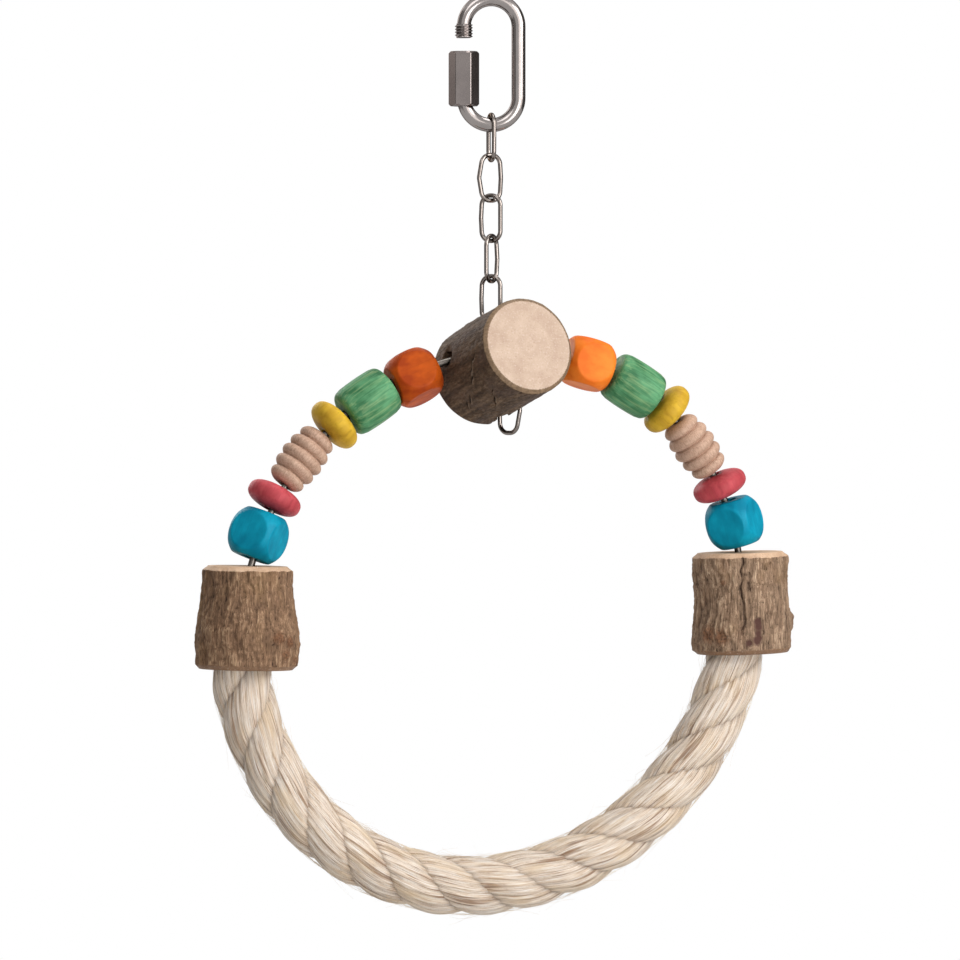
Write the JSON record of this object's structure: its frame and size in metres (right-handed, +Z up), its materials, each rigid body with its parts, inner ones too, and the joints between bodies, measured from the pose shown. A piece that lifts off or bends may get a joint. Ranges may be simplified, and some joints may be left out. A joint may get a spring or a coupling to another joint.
{
  "type": "bird swing",
  "caption": "Hoop swing for cage birds: a rope perch and wooden beads on a wire hoop, hung from a branch-wood log by a welded chain and a threaded quick link.",
  "frame": {"origin": "inside top of the quick link's eye, where the swing hangs", "axes": "+Z up along the chain, +X to the right along the hoop, front of the hoop facing -Y"},
  "size_m": [0.2272, 0.0496, 0.3297],
  "materials": {
    "quick_link_steel": "polished stainless steel",
    "chain_steel": "polished stainless steel",
    "hoop_steel": "drawn stainless wire",
    "log_wood": "thin grey-brown bark, pale sanded ends",
    "collar_wood": "rough brown bark, pale bevelled rims",
    "sisal": "three-strand natural sisal rope",
    "blue_wood": "dyed, satin",
    "red_wood": "dyed, satin",
    "natural_wood": "bare, sanded",
    "yellow_wood": "dyed, satin",
    "green_wood": "dyed, satin",
    "orange_wood": "dyed, satin"
  },
  "bodies": {
    "quick_link": {"quick_link": "quick_link_steel"},
    "sleeve": {"quick_link_sleeve": "quick_link_steel"},
    "chain_link_1": {"chain_link_1": "chain_steel"},
    "chain_link_2": {"chain_link_2": "chain_steel"},
    "chain_link_3": {"chain_link_3": "chain_steel"},
    "chain_link_4": {"chain_link_4": "chain_steel"},
    "chain_link_5": {"chain_link_5": "chain_steel"},
    "chain_link_6": {"chain_link_6": "chain_steel"},
    "chain_link_7": {"chain_link_7": "chain_steel"},
    "chain_link_8": {"chain_link_8": "chain_steel"},
    "center_log": {"center_log": "log_wood"},
    "hoop": {"hoop_wire": "hoop_steel", "rope_perch": "sisal", "left_collar": "collar_wood", "right_collar": "collar_wood"},
    "left_blue_cube": {"left_blue_cube": "blue_wood"},
    "left_red_bead": {"left_red_bead": "red_wood"},
    "left_ribbed_bead": {"left_ribbed_bead": "natural_wood"},
    "left_yellow_bead": {"left_yellow_bead": "yellow_wood"},
    "left_green_barrel": {"left_green_barrel": "green_wood"},
    "left_orange_cube": {"left_orange_cube": "orange_wood"},
    "right_blue_cube": {"right_blue_cube": "blue_wood"},
    "right_red_bead": {"right_red_bead": "red_wood"},
    "right_ribbed_bead": {"right_ribbed_bead": "natural_wood"},
    "right_yellow_bead": {"right_yellow_bead": "yellow_wood"},
    "right_green_barrel": {"right_green_barrel": "green_wood"},
    "right_orange_cube": {"right_orange_cube": "orange_wood"}
  },
  "joints": [
    {"name": "sleeve_travel", "type": "slide", "parent": "quick_link", "child": "sleeve", "axis": [0, 0, 1], "range_m": [0, 0.0085]},
    {"name": "chain_link_1_swing", "type": "hinge", "parent": "quick_link", "child": "chain_link_1", "pos_m": [0, 0, -0.0424], "axis": [0.9397, -0.342, 0], "range_deg": [-35, 35]},
    {"name": "chain_link_2_swing", "type": "hinge", "parent": "chain_link_1", "child": "chain_link_2", "pos_m": [0, 0, -0.0549], "axis": [0.0872, 0.9962, 0], "range_deg": [-35, 35]},
    {"name": "chain_link_3_swing", "type": "hinge", "parent": "chain_link_2", "child": "chain_link_3", "pos_m": [0, 0, -0.0693], "axis": [-0.9659, -0.2588, 0], "range_deg": [-35, 35]},
    {"name": "chain_link_4_swing", "type": "hinge", "parent": "chain_link_3", "child": "chain_link_4", "pos_m": [0, 0, -0.0837], "axis": [0.6691, -0.7431, 0], "range_deg": [-35, 35]},
    {"name": "chain_link_5_swing", "type": "hinge", "parent": "chain_link_4", "child": "chain_link_5", "pos_m": [0, 0, -0.0981], "axis": [-0.7431, -0.6691, 0], "range_deg": [-35, 35]},
    {"name": "chain_link_6_swing", "type": "hinge", "parent": "chain_link_5", "child": "chain_link_6", "pos_m": [0, 0, -0.1125], "axis": [-0.6561, 0.7547, 0], "range_deg": [-20, 20]},
    {"name": "chain_link_7_swing", "type": "hinge", "parent": "chain_link_6", "child": "chain_link_7", "pos_m": [0.00055, 0.00145, -0.1258], "axis": [-0.0523, 0.9986, 0], "range_deg": [-5, 5]},
    {"name": "chain_link_8_swing", "type": "hinge", "parent": "chain_link_7", "child": "chain_link_8", "pos_m": [0.00713, 0.00179, -0.13793], "axis": [0.9986, 0.0523, 0], "range_deg": [-12, 12]},
    {"name": "center_log_rock", "type": "hinge", "parent": "chain_link_6", "child": "center_log", "pos_m": [0.0001, -0.00115, -0.12374], "axis": [0.9961, 0, 0.0885], "range_deg": [-4, 4]},
    {"name": "hoop_swing", "type": "hinge", "parent": "chain_link_6", "child": "hoop", "pos_m": [0.0001, -0.00115, -0.12374], "axis": [0.9961, 0, 0.0885], "range_deg": [-60, 60]},
    {"name": "left_blue_cube_spin", "type": "hinge", "parent": "hoop", "child": "left_blue_cube", "pos_m": [-0.08793, -0.00115, -0.18812], "axis": [0.3732, 0, 0.9278], "continuous": true},
    {"name": "left_red_bead_spin", "type": "hinge", "parent": "hoop", "child": "left_red_bead", "pos_m": [-0.08201, -0.00115, -0.17499], "axis": [0.4966, 0, 0.868], "continuous": true},
    {"name": "left_ribbed_bead_spin", "type": "hinge", "parent": "hoop", "child": "left_ribbed_bead", "pos_m": [-0.07173, -0.00115, -0.16125], "axis": [0.6314, 0, 0.7755], "continuous": true},
    {"name": "left_yellow_bead_spin", "type": "hinge", "parent": "hoop", "child": "left_yellow_bead", "pos_m": [-0.05964, -0.00115, -0.14923], "axis": [0.7493, 0, 0.6622], "continuous": true},
    {"name": "left_green_barrel_spin", "type": "hinge", "parent": "hoop", "child": "left_green_barrel", "pos_m": [-0.04706, -0.00115, -0.1409], "axis": [0.8373, 0, 0.5467], "continuous": true},
    {"name": "left_orange_cube_spin", "type": "hinge", "parent": "hoop", "child": "left_orange_cube", "pos_m": [-0.02982, -0.00115, -0.13249], "axis": [0.9243, 0, 0.3817], "continuous": true},
    {"name": "right_blue_cube_spin", "type": "hinge", "parent": "hoop", "child": "right_blue_cube", "pos_m": [0.09325, -0.00115, -0.18502], "axis": [0.2855, 0, -0.9584], "continuous": true},
    {"name": "right_red_bead_spin", "type": "hinge", "parent": "hoop", "child": "right_red_bead", "pos_m": [0.08749, -0.00115, -0.17165], "axis": [0.4407, 0, -0.8977], "continuous": true},
    {"name": "right_ribbed_bead_spin", "type": "hinge", "parent": "hoop", "child": "right_ribbed_bead", "pos_m": [0.07775, -0.00115, -0.15748], "axis": [0.609, 0, -0.7932], "continuous": true},
    {"name": "right_yellow_bead_spin", "type": "hinge", "parent": "hoop", "child": "right_yellow_bead", "pos_m": [0.06697, -0.00115, -0.14397], "axis": [0.7533, 0, -0.6576], "continuous": true},
    {"name": "right_green_barrel_spin", "type": "hinge", "parent": "hoop", "child": "right_green_barrel", "pos_m": [0.05396, -0.00115, -0.13572], "axis": [0.8572, 0, -0.5151], "continuous": true},
    {"name": "right_orange_cube_spin", "type": "hinge", "parent": "hoop", "child": "right_orange_cube", "pos_m": [0.03616, -0.00115, -0.1276], "axis": [0.9508, 0, -0.3098], "continuous": true}
  ]
}
